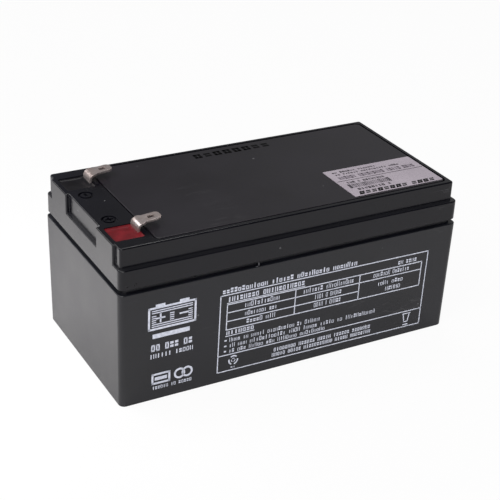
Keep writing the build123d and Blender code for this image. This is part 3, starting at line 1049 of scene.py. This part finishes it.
@dataclass
class FrontPrint:
    """What is printed on the front of the container: a ruled panel and a column of marks.

    Sizes are in millimetres in the plane of the front, X along and Z up from the base. A box is its
    left, right, low and high side.
    """

    kit: PrintKit
    finishes: Materials
    panel: Box = (-30.05, 55.45, 3.8, 34.7)
    table: Box = (-27.35, 53.15, 20.75, 30.8)
    panel_middle: Point = (12.7, 19.3)
    band: float = 10.45
    first_row: float = 27.55
    second_row: float = 24.1
    first_column: float = -0.4
    second_column: float = 26.25
    skew: float = -0.55
    line: float = 0.38
    thin_line: float = 0.3
    bold_line: float = 0.75
    underline_drop: float = 0.5
    sign_case: Box = (-56.4, -39.4, 28.3, 36.4)
    block_mark: Box = (-54.9, -48.6, 6.6, 10.2)
    rows: tuple[TextRow, ...] = (
        TextRow(-20.9, -6.8, 28.35, 1.95, (11,)),
        TextRow(2.5, 23.7, 28.35, 1.95, (7, 10)),
        TextRow(32.0, 47.7, 28.4, 1.9, (7, 7)),
        TextRow(-20.4, -7.6, 25.0, 1.8, (8, 3)),
        TextRow(7.5, 18.8, 25.0, 1.75, (4, 1, 5), 0.0),
        TextRow(34.2, 45.5, 24.5, 1.75, (4, 4)),
        TextRow(-19.7, -8.1, 21.7, 1.8, (5, 3)),
        TextRow(7.5, 18.8, 21.7, 1.75, (4, 1, 5), 0.0),
        TextRow(37.9, 44.6, 21.75, 1.7, (5,), 0.0),
        TextRow(42.3, 50.7, 31.5, 1.6, (2, 4), 0.0),
        TextRow(-26.0, 10.9, 15.6, 1.7, (4, 2, 5, 10, 2, 6)),
        TextRow(-26.0, 34.8, 13.3, 1.7, (2, 3, 12, 4, 5, 5, 2, 11)),
        TextRow(-26.0, 13.2, 11.15, 1.6, (2, 3, 5, 3, 7, 9)),
        TextRow(-24.9, -22.9, 4.6, 0.8, (2,)),
    )
    bulleted: tuple[int, int] = (10, 13)
    bold_rows: tuple[TextRow, ...] = (
        TextRow(-29.6, 24.5, 35.3, 2.05, (12, 6, 9, 7)),
        TextRow(-27.4, 3.1, 31.85, 1.9, (8, 11), 0.0),
        TextRow(-27.4, -16.3, 18.65, 1.5, (7,), 0.0),
        TextRow(-7.75, 33.25, 7.0, 1.5, (8, 6, 5, 6, 7), 0.0),
        TextRow(-8.4, 33.5, 4.95, 1.5, (5, 5, 11, 5, 8), 0.0),
    )
    underlined: tuple[int, int] = (1, 3)
    column_rows: tuple[TextRow, ...] = (
        TextRow(-56.2, -39.8, 16.8, 1.7, (6, 5), 0.0),
        TextRow(-55.0, -40.1, 4.15, 1.3, (6, 2, 5), 0.0),
    )
    large_row: TextRow = TextRow(-55.7, -40.1, 19.6, 2.6, (2, 3, 2), 0.0)

    def plane(self) -> Matrix:
        """Return the plane of the front, read from the container itself."""
        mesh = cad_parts["container"].data
        corners = [vertex.co.copy() for vertex in mesh.vertices]
        surface = BVHTree.FromPolygons(corners, [tuple(polygon.vertices) for polygon in mesh.polygons])
        outside = -0.1
        low, high = (
            surface.ray_cast(Vector((0.0, outside, z * MM)), Vector((0.0, 1.0, 0.0)))[0] for z in (5, 40)
        )
        along = Vector((1.0, 0.0, 0.0))
        up = (high - low).normalized()
        foot = low - up * (low.z / up.z)
        facing = Matrix((along, up, along.cross(up))).transposed().to_4x4()
        return Matrix.Translation(foot) @ facing

    def build(self) -> None:
        """Make the printed pieces and place them on the front."""
        plane = self.plane()
        panel = joined("front_panel_print", self._panel())
        panel.transform(plane @ turned_about(self.panel_middle, self.skew))
        place_piece("front_panel_print", panel)
        column = joined("front_column_print", self._column())
        column.transform(plane)
        place_piece("front_column_print", column)

    def _panel(self) -> list[Mesh]:
        """Return the meshes of the ruled panel."""
        kit, ink = self.kit, self.finishes["case_ink"]
        left, right = self.panel[:2]
        table_left, table_right, table_low, table_high = self.table
        rules = frame_lines(*self.panel) + frame_lines(*self.table)
        rules += [
            ((left, self.band), (right, self.band)),
            ((table_left, self.first_row), (table_right, self.first_row)),
            ((table_left, self.second_row), (self.second_column, self.second_row)),
        ]
        rules += [((x, table_low), (x, table_high)) for x in (self.first_column, self.second_column)]
        underlines = [
            ((row.left, row.base - self.underline_drop), (row.right, row.base - self.underline_drop))
            for row in self.bold_rows[slice(*self.underlined)]
        ]
        heights = [row.base + 0.85 for row in self.rows[slice(*self.bulleted)]]
        bullets = [((-27.5, z), (-27.2, z)) for z in heights]
        return [
            kit.rules(rules, self.line, ink),
            kit.rules(underlines, self.thin_line, ink),
            kit.rules(bullets, 0.6, ink),
            kit.text(self.rows, 0.24, 3, ink),
            kit.text(self.bold_rows, 0.33, 11, ink),
            *self._signs(),
        ]

    def _signs(self) -> list[Mesh]:
        """Return two plain signs for the lower band: three arcs and an open box."""
        kit, ink = self.kit, self.finishes["case_ink"]
        middle = (-23.9, 7.75)
        spans = [(start + 12, start + 96) for start in (30, 150, 270)]
        box = [((47.6, 9.4), (50.8, 9.4)), ((47.9, 9.2), (48.4, 5.9)), ((50.5, 9.2), (50.0, 5.9)),
               ((48.4, 5.9), (50.0, 5.9)), ((48.3, 4.7), (50.1, 4.7))]
        return [
            kit.arcs(middle, 1.7, spans, 0.55, ink),
            kit.arcs(middle, 0.7, spans, 0.3, ink),
            kit.rules(box, 0.42, ink),
        ]

    def _column(self) -> list[Mesh]:
        """Return the meshes of the column at the left: a plain battery sign, rows and plain marks."""
        kit, ink = self.kit, self.finishes["case_ink"]
        studs = [((-53.6, 37.25), (-51.0, 37.25)), ((-44.8, 37.25), (-42.2, 37.25))]
        poles = [((x, 32.3), (x + 2.8, 32.3)) for x in (-53.6, -45.0)] + [((-52.2, 30.9), (-52.2, 33.7))]
        hatch = [((-55.2, z), (-40.6, z)) for z in (29.3, 30.1, 34.5, 35.3)]
        levels = [30.9 + 0.8 * i for i in range(4)]
        hatch += [((x, z), (x + 1.2, z)) for x in (-48.6, -55.2, -41.8) for z in levels]
        marks = (
            (frame_lines(*self.sign_case), self.bold_line),
            (studs, 0.9),
            (poles, 0.6),
            (hatch, self.line),
            ([((-54.2, 25.5), (-42.2, 25.5))], 1.7),
            (frame_lines(*self.block_mark), self.bold_line),
            ([((-53.4, 8.4), (-50.1, 8.4))], 1.3),
        )
        return [
            *(kit.rules(segments, width, ink) for segments, width in marks),
            kit.text((self.large_row,), 0.34, 5, ink, 2),
            kit.text(self.column_rows, 0.27, 8, ink),
            *(kit.arcs((x, 8.4), 1.75, [(0, 360)], self.bold_line, ink) for x in (-44.75, -41.85)),
        ]


@dataclass
class TopLabel:
    """The film label on the cover, with rows of blocks and plain stripes.

    Sizes are in millimetres in the plane of the top, X along and Y across.
    """

    kit: PrintKit
    finishes: Materials
    skew: float = -0.6
    slant: float = 0.42
    margin: float = 0.6
    divider: float = -15.6
    stripes: Box = (28.2, 43.6, -21.9, -18.9)
    rows: tuple[TextRow, ...] = (
        TextRow(27.3, 46.0, -8.9, 1.15, (2, 6, 7)),
        TextRow(27.5, 55.0, -10.8, 1.15, (2, 6, 10, 4)),
        TextRow(28.1, 44.0, -18.2, 1.4, (3, 1, 8), 0.1),
        TextRow(29.0, 43.1, -24.2, 1.4, (8, 1), 0.0),
    )
    pale_row: TextRow = TextRow(27.3, 59.8, -14.3, 2.2, (6, 9, 5, 4), 0.0)
    big_row: TextRow = TextRow(27.2, 59.6, -27.6, 2.3, (8, 4), 0.0, 0.8, 0.6)

    def build(self) -> None:
        """Dress the film and make what is printed on it."""
        dress("top_label", self.finishes["silver_film"])
        low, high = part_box("top_label")
        middle = (low + high) / 2
        turn = turned_about((middle.x / MM, middle.y / MM), self.skew)
        plane = Matrix.Translation((0.0, 0.0, high.z)) @ turn
        kit, ink = self.kit, self.finishes["label_ink"]
        left, right = low.x / MM + self.margin, high.x / MM - self.margin
        dark = joined("label_print", [
            kit.text(self.rows, 0.42, 21, ink),
            kit.bars(self.stripes, 0.7, 4, ink),
            kit.rules([((x, -21.7), (x, -19.1)) for x in (27.6, 44.3)], 0.7, ink),
            kit.rules([((left, self.divider), (right, self.divider))], 0.34, ink),
        ])
        pale = kit.text((self.pale_row,), 0.42, 33, self.finishes["label_grey_ink"])
        shear = Matrix.Identity(4)
        shear[0][1] = self.slant
        shear[0][3] = -self.slant * self.big_row.base * MM
        bold = kit.text((self.big_row,), 0.47, 47, self.finishes["label_bold_ink"], 2)
        bold.transform(shear)
        for name, mesh in (("label_print", dark), ("label_pale_print", pale), ("label_bold_print", bold)):
            mesh.transform(plane)
            place_piece(name, mesh)


@dataclass(frozen=True)
class Drop:
    """A small lump of dried adhesive, in millimetres.

    Args:
        at: Its middle: X, the distance in from the face that it sits on, and Z.
        size: Its half sizes.
        seed: Which lump is drawn.
    """

    at: Place
    size: Place
    seed: float

    def mesh(self, face: float) -> Mesh:
        """Make the lump, with an uneven skin.

        Args:
            face: Where the face lies across the battery, in metres.

        Returns:
            The mesh.
        """
        middle = Vector(self.at) * MM + Vector((0.0, face, 0.0))
        lump = bmesh.new()
        bmesh.ops.create_icosphere(lump, subdivisions=3, radius=1.0)
        for vertex in lump.verts:
            swell = 1.0 + 0.35 * noise.noise(vertex.co * 1.6 + Vector((self.seed, 0.0, 0.0)))
            vertex.co = middle + Vector((vertex.co[i] * self.size[i] * swell * MM for i in range(3)))
        return written(lump, "drop")


@dataclass
class Shell:
    """The container, lid and cover, with the stamped marks, the adhesive and the dust on them."""

    kit: PrintKit
    bead: SquashedBead
    finishes: Materials
    joint_high: float = 45.15 * MM
    upstand_inset: float = 1.5 * MM
    bead_radius: float = 0.42 * MM
    bead_bend: float = 2.2 * MM
    fibre_radius: float = 0.05 * MM
    fibre_steps: int = 8
    code: TextRow = TextRow(-12.4, 20.0, 23.3, 3.3, (8,), 0.0, 0.72)
    collar_drops: tuple[Drop, ...] = (
        Drop((-63.9, 0.1, 46.4), (0.75, 0.14, 0.3), 1.0),
        Drop((-61.5, 0.1, 46.4), (0.4, 0.14, 0.35), 2.0),
        Drop((-60.9, 0.1, 46.95), (0.4, 0.14, 0.35), 7.0),
    )
    joint_drops: tuple[Drop, ...] = (Drop((-40.0, 0.7, 44.8), (1.0, 0.5, 0.4), 3.0),)
    pale_drops: tuple[Drop, ...] = (
        Drop((-15.6, 0.4, 44.15), (0.15, 0.2, 0.75), 4.0),
        Drop((-16.4, 0.25, 43.55), (0.45, 0.12, 0.1), 5.0),
    )

    def build(self) -> None:
        """Dress the shells and make what lies on them."""
        dress("container", self.finishes["case_plastic"])
        dress("lid", self.finishes["lid_plastic"])
        dress("vent_cover", self.finishes["cover_plastic"])
        dress("lid_sealant", self.finishes["adhesive_bead"])
        self._stamp()
        self._joint_bead()
        self._smears()
        self._fibre()

    def _stamp(self) -> None:
        """Make the row of plain stamped blocks near the back edge of the cover."""
        # Their near-black finish is painted shade, standing in for the shading of raised characters.
        mesh = self.kit.text((self.code,), 0.4, 2, self.finishes["stamp_painted_shade"], 2)
        mesh.transform(Matrix.Translation((0.0, 0.0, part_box("vent_cover")[1].z)))
        place_piece("cover_stamp", mesh)

    def _joint_bead(self) -> None:
        """Make the thread of adhesive that shows in the gap under the lid."""
        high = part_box("container")[1]
        half = (high.x - self.upstand_inset, high.y - self.upstand_inset)
        level = self.joint_high - self.bead_radius * 0.5
        points = [Vector((x, y, level)) for x, y in rounded_outline(half, self.bead_bend, 4)]
        edges = [(i, (i + 1) % len(points)) for i in range(len(points))]
        settings = {"Radius": self.bead_radius, "Wander": 1.1, "Step": 0.8 * MM}
        settings["Material"] = self.finishes["adhesive_bead"]
        mesh = self.bead.run(mesh_of("joint_path", points, edges), settings)
        place_piece("joint_bead", mesh, smooth=True)

    def _smears(self) -> None:
        """Make the drops of adhesive on the collar and across the gap."""
        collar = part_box("lid")[0].y
        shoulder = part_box("container")[0].y
        dark = [drop.mesh(collar) for drop in self.collar_drops]
        dark += [drop.mesh(shoulder) for drop in self.joint_drops]
        pale = [drop.mesh(shoulder) for drop in self.pale_drops]
        for name, drops, finish in (
            ("collar_smears", dark, "adhesive_bead"),
            ("joint_flecks", pale, "dried_adhesive"),
        ):
            place_piece(name, joined(name, drops), self.finishes[finish], True)

    def _fibre(self) -> None:
        """Make the short pale fibre that lies on the lid between the terminals."""
        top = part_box("lid")[1].z
        level = top + self.fibre_radius
        points = []
        for share in (index / self.fibre_steps for index in range(self.fibre_steps + 1)):
            x = (-56.7 + 0.45 * share + 0.06 * math.sin(4 * share)) * MM
            y = (3.2 + 0.5 * share - 0.2 * share * share) * MM
            points.append(Vector((x, y, level)))
        path = mesh_of("fibre_path", points, [(i, i + 1) for i in range(self.fibre_steps)])
        settings = {"Radius": self.fibre_radius, "Wander": 0.3, "Step": 0.1 * MM}
        settings["Material"] = self.finishes["dust_fibre"]
        place_piece("lid_fibre", self.bead.run(path, settings), smooth=True)


class Polarity(Enum):
    """The two terminals, with the finish and the slot of the resin around each."""

    POSITIVE = ("positive", "poured_red_resin", "red_resin")
    NEGATIVE = ("negative", "poured_black_resin", "black_resin")

    def __init__(self, word: str, resin: str, slot: str) -> None:
        """Keep the terminal's word, its resin's finish and that resin's slot."""
        self.word, self.resin, self.slot = word, resin, slot


@dataclass
class BladeTab:
    """A stamped tab: a foot over the post, a leg up out of the resin and a bent blade with a slot.

    It is laid out as a flat strip of stations, bent, thickened and rounded. Sizes are in millimetres.
    """

    polarity: Polarity
    finishes: Materials
    thickness: float = 0.8
    foot_width: float = 6.0
    blade_width: float = 4.75
    leg_x: float = -55.0
    post_x: float = -59.7
    hole_radius: float = 1.6
    foot_bend: float = 1.4
    blade_bend: float = 2.0
    tip_drop: float = 0.45
    tilt: float = 5.5
    shoulder: Point = (-53.0, -51.9)
    tip_radius: float = 1.6
    slot: Point = (4.45, 2.25)
    slot_width: float = 1.5
    edge_round: float = 0.17
    edge_share: float = 0.86
    seam: float = 0.5
    sharp_edge: float = 50.0

    def build(self) -> None:
        """Make the tab and let it stand for its CAD node."""
        node = f"{self.polarity.word}_terminal"
        low, high = (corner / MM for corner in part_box(node))
        middle = (low.y + high.y) / 2
        body = bmesh.new()
        rows = []
        for x, z, half, opening, cut in self._stations(low, high):
            edge = self.edge_share * half
            columns = (-half, -edge, -opening, opening, edge, half)
            rows.append(([body.verts.new(Vector((x, middle + y, z)) * MM) for y in columns], cut))
        for (first, first_cut), (second, second_cut) in zip(rows, rows[1:]):
            for column in range(5):
                if not (column == 2 and first_cut and second_cut):
                    body.faces.new((first[column], second[column], second[column + 1], first[column + 1]))
        mesh = self._thickened(written(body, "tab_strip"))
        name = f"{self.polarity.word}_tab"
        piece = place_piece(name, mesh, self.finishes["tin_plate"], True)
        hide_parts(node)

    def _thickened(self, sheet: Mesh) -> Mesh:
        """Give the bent sheet its thickness and its rounded stamped edges.

        Args:
            sheet: The sheet, half way through the thickness.

        Returns:
            The finished mesh.
        """
        holder = bpy.data.objects.new(sheet.name, sheet)
        bpy.context.scene.collection.objects.link(holder)
        solid = holder.modifiers.new("thickness", "SOLIDIFY")
        solid.thickness = self.thickness * MM
        solid.offset = 0.0
        solid.use_even_offset = True
        rounding = holder.modifiers.new("rounding", "BEVEL")
        rounding.width = self.edge_round * MM
        rounding.segments = 3
        rounding.limit_method = "ANGLE"
        rounding.angle_limit = math.radians(self.sharp_edge)
        depsgraph = bpy.context.evaluated_depsgraph_get()
        made = bpy.data.meshes.new_from_object(holder.evaluated_get(depsgraph))
        bpy.data.objects.remove(holder)
        return made

    def _stations(self, low: Vector, high: Vector) -> list[tuple[float, float, float, float, bool]]:
        """Return the strip's stations from the foot to the tip.

        Args:
            low: The CAD node's lowest corner.
            high: The CAD node's highest corner.

        Returns:
            For each station its x, its z, its half width, the half width of its middle strip and
            whether that strip is open there.
        """
        slope = math.tan(math.radians(self.tilt))
        foot_z = low.z + self.thickness / 2
        tip_z = high.z - self.thickness / 2 - self.tip_drop
        corner_z = tip_z - slope * (high.x - self.leg_x)
        foot, blade = self.foot_width / 2, self.blade_width / 2
        stations = [(low.x, foot_z, foot, self.seam, False)]
        for index in range(9):
            angle = math.pi * index / 8
            opening = max(0.15, self.hole_radius * math.sin(angle))
            stations.append((self.post_x - self.hole_radius * math.cos(angle), foot_z, foot, opening, True))
        for index in range(9):
            angle = math.radians(90 * index / 8)
            x = self.leg_x - self.foot_bend * (1 - math.sin(angle))
            z = foot_z + self.foot_bend * (1 - math.cos(angle))
            stations.append((x, z, foot, self.seam, False))
        turn = math.radians(90 - self.tilt)
        reach = self.blade_bend * math.tan(turn / 2)
        for index in range(11):
            angle = turn * index / 10
            x = self.leg_x + self.blade_bend * (1 - math.cos(angle))
            z = corner_z - reach + self.blade_bend * math.sin(angle)
            stations.append((x, z, foot, self.seam, False))
        start, end = self.shoulder
        places = [(start + (end - start) * i / 6, False) for i in range(7)]
        places += [(high.x - from_tip, True) for from_tip in self.slot]
        places += [(high.x - self.tip_radius * (1 - i / 8) ** 2, False) for i in range(9)]
        for x, cut in places:
            share = min(1.0, max(0.0, (x - start) / (end - start)))
            half = foot + (blade - foot) * share * share * (3 - 2 * share)
            inward = max(0.0, self.tip_radius - (high.x - x))
            half -= self.tip_radius - math.sqrt(max(0.0, self.tip_radius**2 - inward**2))
            opening = min(self.slot_width / 2, 0.5 * half)
            stations.append((x, corner_z + slope * (x - self.leg_x), half, opening, cut))
        return stations


@dataclass
class TerminalWell:
    """One terminal: its post, its tab and the resin poured around it."""

    polarity: Polarity
    finishes: Materials
    rings: int = 18
    side_steps: int = 9
    corner_steps: int = 6
    corner_radius: float = 1.0 * MM
    ring_crowding: float = 1.6
    climb: float = 0.62 * MM
    climb_reach: float = 0.45 * MM
    leg_x: float = -55.4 * MM
    leg_thickness: float = 0.8 * MM
    leg_climb: float = 0.5 * MM
    leg_reach: float = 0.35 * MM
    rim_drop: float = 0.04 * MM
    ripple: float = 0.06 * MM
    ripple_scale: float = 420.0

    def build(self) -> None:
        """Make the tab and the resin."""
        dress(f"{self.polarity.word}_post", self.finishes["lead_casting"])
        BladeTab(self.polarity, self.finishes).build()
        self._resin(f"{self.polarity.word}_resin")

    def _level(self, x: float, y: float, edge: float, leg: tuple[Vector, Vector]) -> float:
        """Return how far the resin stands above its middle level.

        Args:
            x: Where along.
            y: Where across.
            edge: The distance from the well's wall.
            leg: The lowest and highest corner of the tab's leg.

        Returns:
            The height.
        """
        wall = self.climb * math.exp(-edge / self.climb_reach)
        away = math.hypot(max(leg[0].x - x, x - leg[1].x, 0.0), max(leg[0].y - y, y - leg[1].y, 0.0))
        rise = self.leg_climb * math.exp(-away / self.leg_reach)
        ripple = self.ripple * noise.noise(Vector((x, y, 0.0)) * self.ripple_scale)
        free = 1 - wall / self.climb
        return min(self.climb, wall + rise * free) + ripple * free

    def _resin(self, node: str) -> None:
        """Make the resin, which climbs the walls of its well and the tab's leg.

        Args:
            node: The CAD node.
        """
        low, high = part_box(node)
        tab_low, tab_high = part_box(f"{self.polarity.word}_terminal")
        leg_end = self.leg_x + self.leg_thickness
        leg = (Vector((self.leg_x, tab_low.y, 0.0)), Vector((leg_end, tab_high.y, 0.0)))
        middle, half = (low + high) / 2, (high - low) / 2
        outline = rounded_outline((half.x, half.y), self.corner_radius, self.corner_steps, self.side_steps)
        base = high.z - self.rim_drop - self.climb
        body = bmesh.new()
        rings = []
        for ring in range(1, self.rings + 1):
            share = 1 - (1 - ring / self.rings) ** self.ring_crowding
            edge = (1 - share) * half.x
            places = [(middle.x + x * share, middle.y + y * share) for x, y in outline]
            rings.append([body.verts.new((x, y, base + self._level(x, y, edge, leg))) for x, y in places])
        rings.append([body.verts.new((middle.x + x, middle.y + y, low.z)) for x, y in outline])
        count = len(outline)
        for inner, outer in zip(rings, rings[1:]):
            for index in range(count):
                after = (index + 1) % count
                body.faces.new((inner[index], outer[index], outer[after], inner[after]))
        top = body.verts.new((middle.x, middle.y, base + self._level(middle.x, middle.y, half.x, leg)))
        for index in range(count):
            body.faces.new((top, rings[0][index], rings[0][(index + 1) % count]))
        body.faces.new(list(reversed(rings[-1])))
        bmesh.ops.recalc_face_normals(body, faces=body.faces)
        name = f"{self.polarity.word}_potting"
        material = self.finishes[self.polarity.resin]
        piece = place_piece(name, written(body, node), material, True)
        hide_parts(node)


@dataclass
class CellStacks:
    """What the container holds: the plates, separators and welds, and the valve caps under the cover."""

    finishes: Materials
    count: int = 6

    def build(self) -> None:
        """Dress the inner pieces."""
        for number in range(1, self.count + 1):
            dress(f"cell_{number}_positive_plates", self.finishes["positive_plate_paste"])
            dress(f"cell_{number}_negative_plates", self.finishes["negative_plate_paste"])
            dress(f"cell_{number}_separators", self.finishes["glass_felt"])
            dress(f"valve_cap_{number}", self.finishes["valve_rubber"])
        for number in range(1, self.count):
            dress(f"intercell_weld_{number}_{number + 1}", self.finishes["lead_casting"])


@dataclass(frozen=True)
class Lamp:
    """A square soft lamp: its place, its side, its power in watts, its aim and its spread in degrees."""

    name: str
    place: Place
    size: float
    power: float
    aim: Place = (0.0, 0.0, 0.03)
    spread: float = 180.0

    def build(self) -> None:
        """Make the lamp."""
        light = bpy.data.lights.new(self.name, "AREA")
        light.spread = math.radians(self.spread)
        light.shape = "SQUARE"
        light.size = self.size
        light.energy = self.power
        lamp = bpy.data.objects.new(self.name, light)
        way = Vector(self.aim) - Vector(self.place)
        turn = way.to_track_quat("-Z", "Y").to_matrix().to_4x4()
        lamp.matrix_world = Matrix.Translation(self.place) @ turn
        bpy.context.scene.collection.objects.link(lamp)


@dataclass
class Studio:
    """The pale floor, the soft lamps, the surroundings and the camera."""

    position: Place = (-206.1121, -360.4911, 247.9514)
    target: Place = (-0.4748, 0.0, 30.4539)
    roll: float = 0.0473
    focal_px: float = 1270.3332
    picture_px: float = 500.0
    sensor: float = 36.0
    floor_half: float = 3.0
    floor_colour: Colour = (0.64, 0.625, 0.63, 1.0)
    white: Colour = (1.0, 1.0, 1.0, 1.0)
    ambient: float = 0.55
    sky_left: float = 0.07
    sky_right: float = 0.34
    front: float = 0.04
    zenith: float = 0.55
    seen_share: float = 0.93
    reflected_share: float = 0.16
    lamps: tuple[Lamp, ...] = (
        Lamp("key_lamp", (-0.66, -0.52, 0.88), 1.0, 12.0),
        Lamp("front_lamp", (-0.5, -1.0, 0.5), 0.6, 3.0),
        Lamp("back_lamp", (-0.6, 0.92, 0.55), 0.4, 1.5),
        Lamp("top_lamp", (0.12, 0.17, 0.52), 0.12, 0.5),
        Lamp("low_lamp", (-0.135, 0.035, 0.125), 0.08, 0.11, (-0.125, 0.04, 0.0), 110.0),
    )

    def build(self) -> None:
        """Make the camera, the floor, the lamps and the world."""
        bpy.context.scene.view_settings.view_transform = "Standard"
        self._camera()
        self._floor()
        for lamp in self.lamps:
            lamp.build()
        self._world()

    def _camera(self) -> None:
        """Make the camera at the photograph's place."""
        lens = bpy.data.cameras.new("camera")
        lens.sensor_fit = "HORIZONTAL"
        lens.sensor_width = self.sensor
        lens.lens = self.focal_px * self.sensor / self.picture_px
        lens.clip_start = 0.01
        position = Vector(self.position) * MM
        forward = (Vector(self.target) * MM - position).normalized()
        right = forward.cross(Vector((0.0, 0.0, 1.0))).normalized()
        up = right.cross(forward)
        across = right * math.cos(self.roll) + up * math.sin(self.roll)
        above = up * math.cos(self.roll) - right * math.sin(self.roll)
        turn = Matrix((across, above, -forward)).transposed().to_4x4()
        camera = bpy.data.objects.new("camera", lens)
        camera.matrix_world = Matrix.Translation(position) @ turn
        bpy.context.scene.collection.objects.link(camera)
        bpy.context.scene.camera = camera

    def _floor(self) -> None:
        """Make the floor: white to the eye, dimmer in reflections, with the battery's shadow kept."""
        mesh = bpy.data.meshes.new("floor")
        half = self.floor_half
        corners = [(-half, -half, 0.0), (half, -half, 0.0), (half, half, 0.0), (-half, half, 0.0)]
        mesh.from_pydata(corners, [], [(0, 1, 2, 3)])
        material = bpy.data.materials.new("floor")
        material.use_nodes = True
        material.node_tree.nodes.clear()
        graph = Graph(material.node_tree)
        paths = graph.add("ShaderNodeLightPath")
        matt = graph.add("ShaderNodeBsdfDiffuse", {"Color": self.floor_colour})
        white = graph.add("ShaderNodeEmission", {"Color": self.white, "Strength": 1.0})
        seen = graph.math("MULTIPLY", paths.outputs["Is Camera Ray"], self.seen_share)
        glossy = graph.math("MULTIPLY", paths.outputs["Is Glossy Ray"], self.reflected_share)
        unseen = graph.math("MAXIMUM", glossy, paths.outputs["Is Transmission Ray"])
        share = graph.math("MAXIMUM", seen, unseen)
        mixed = graph.add("ShaderNodeMixShader", {0: share, 1: matt.outputs[0], 2: white.outputs[0]})
        graph.add("ShaderNodeOutputMaterial", {"Surface": mixed.outputs[0]})
        mesh.materials.append(material)
        floor = bpy.data.objects.new("floor", mesh)
        bpy.context.scene.collection.objects.link(floor)

    def _world(self) -> None:
        """Make the surroundings: white to the eye, soft light, and darker in reflections."""
        world = bpy.data.worlds.new("studio")
        world.use_nodes = True
        world.node_tree.nodes.clear()
        graph = Graph(world.node_tree)
        paths = graph.add("ShaderNodeLightPath")
        way = graph.add("ShaderNodeSeparateXYZ", {0: graph.add("ShaderNodeTexCoord").outputs["Generated"]})
        side = graph.between(graph.step(way.outputs["X"], 0.2, 0.68), self.sky_left, self.sky_right)
        back = graph.between(graph.step(way.outputs["Z"], 0.6, 0.9), side, self.zenith)
        sky = graph.between(graph.step(way.outputs["Y"], -0.1, 0.4), self.front, back)
        reflected, soft, white = (
            graph.add("ShaderNodeBackground", {"Color": self.white, "Strength": strength}).outputs[0]
            for strength in (sky, self.ambient, 1.0)
        )
        glossy = graph.math("MAXIMUM", paths.outputs["Is Glossy Ray"], paths.outputs["Is Transmission Ray"])
        lit = graph.add("ShaderNodeMixShader", {0: glossy, 1: soft, 2: reflected})
        seen = {0: paths.outputs["Is Camera Ray"], 1: lit.outputs[0], 2: white}
        shown = graph.add("ShaderNodeMixShader", seen)
        graph.add("ShaderNodeOutputWorld", {"Surface": shown.outputs[0]})
        bpy.context.scene.world = world


def main() -> None:
    """Build the studio and every sub-assembly of the battery."""
    logging.basicConfig(level=logging.INFO, format="%(message)s")
    Studio().build()
    finishes = build_finishes()
    kit = PrintKit(RuledLines(), LetterBlocks(), StripeRow())
    Shell(kit, SquashedBead(), finishes).build()
    FrontPrint(kit, finishes).build()
    TopLabel(kit, finishes).build()
    for polarity in Polarity:
        TerminalWell(polarity, finishes).build()
    CellStacks(finishes).build()


if __name__ == "__main__":
    main()
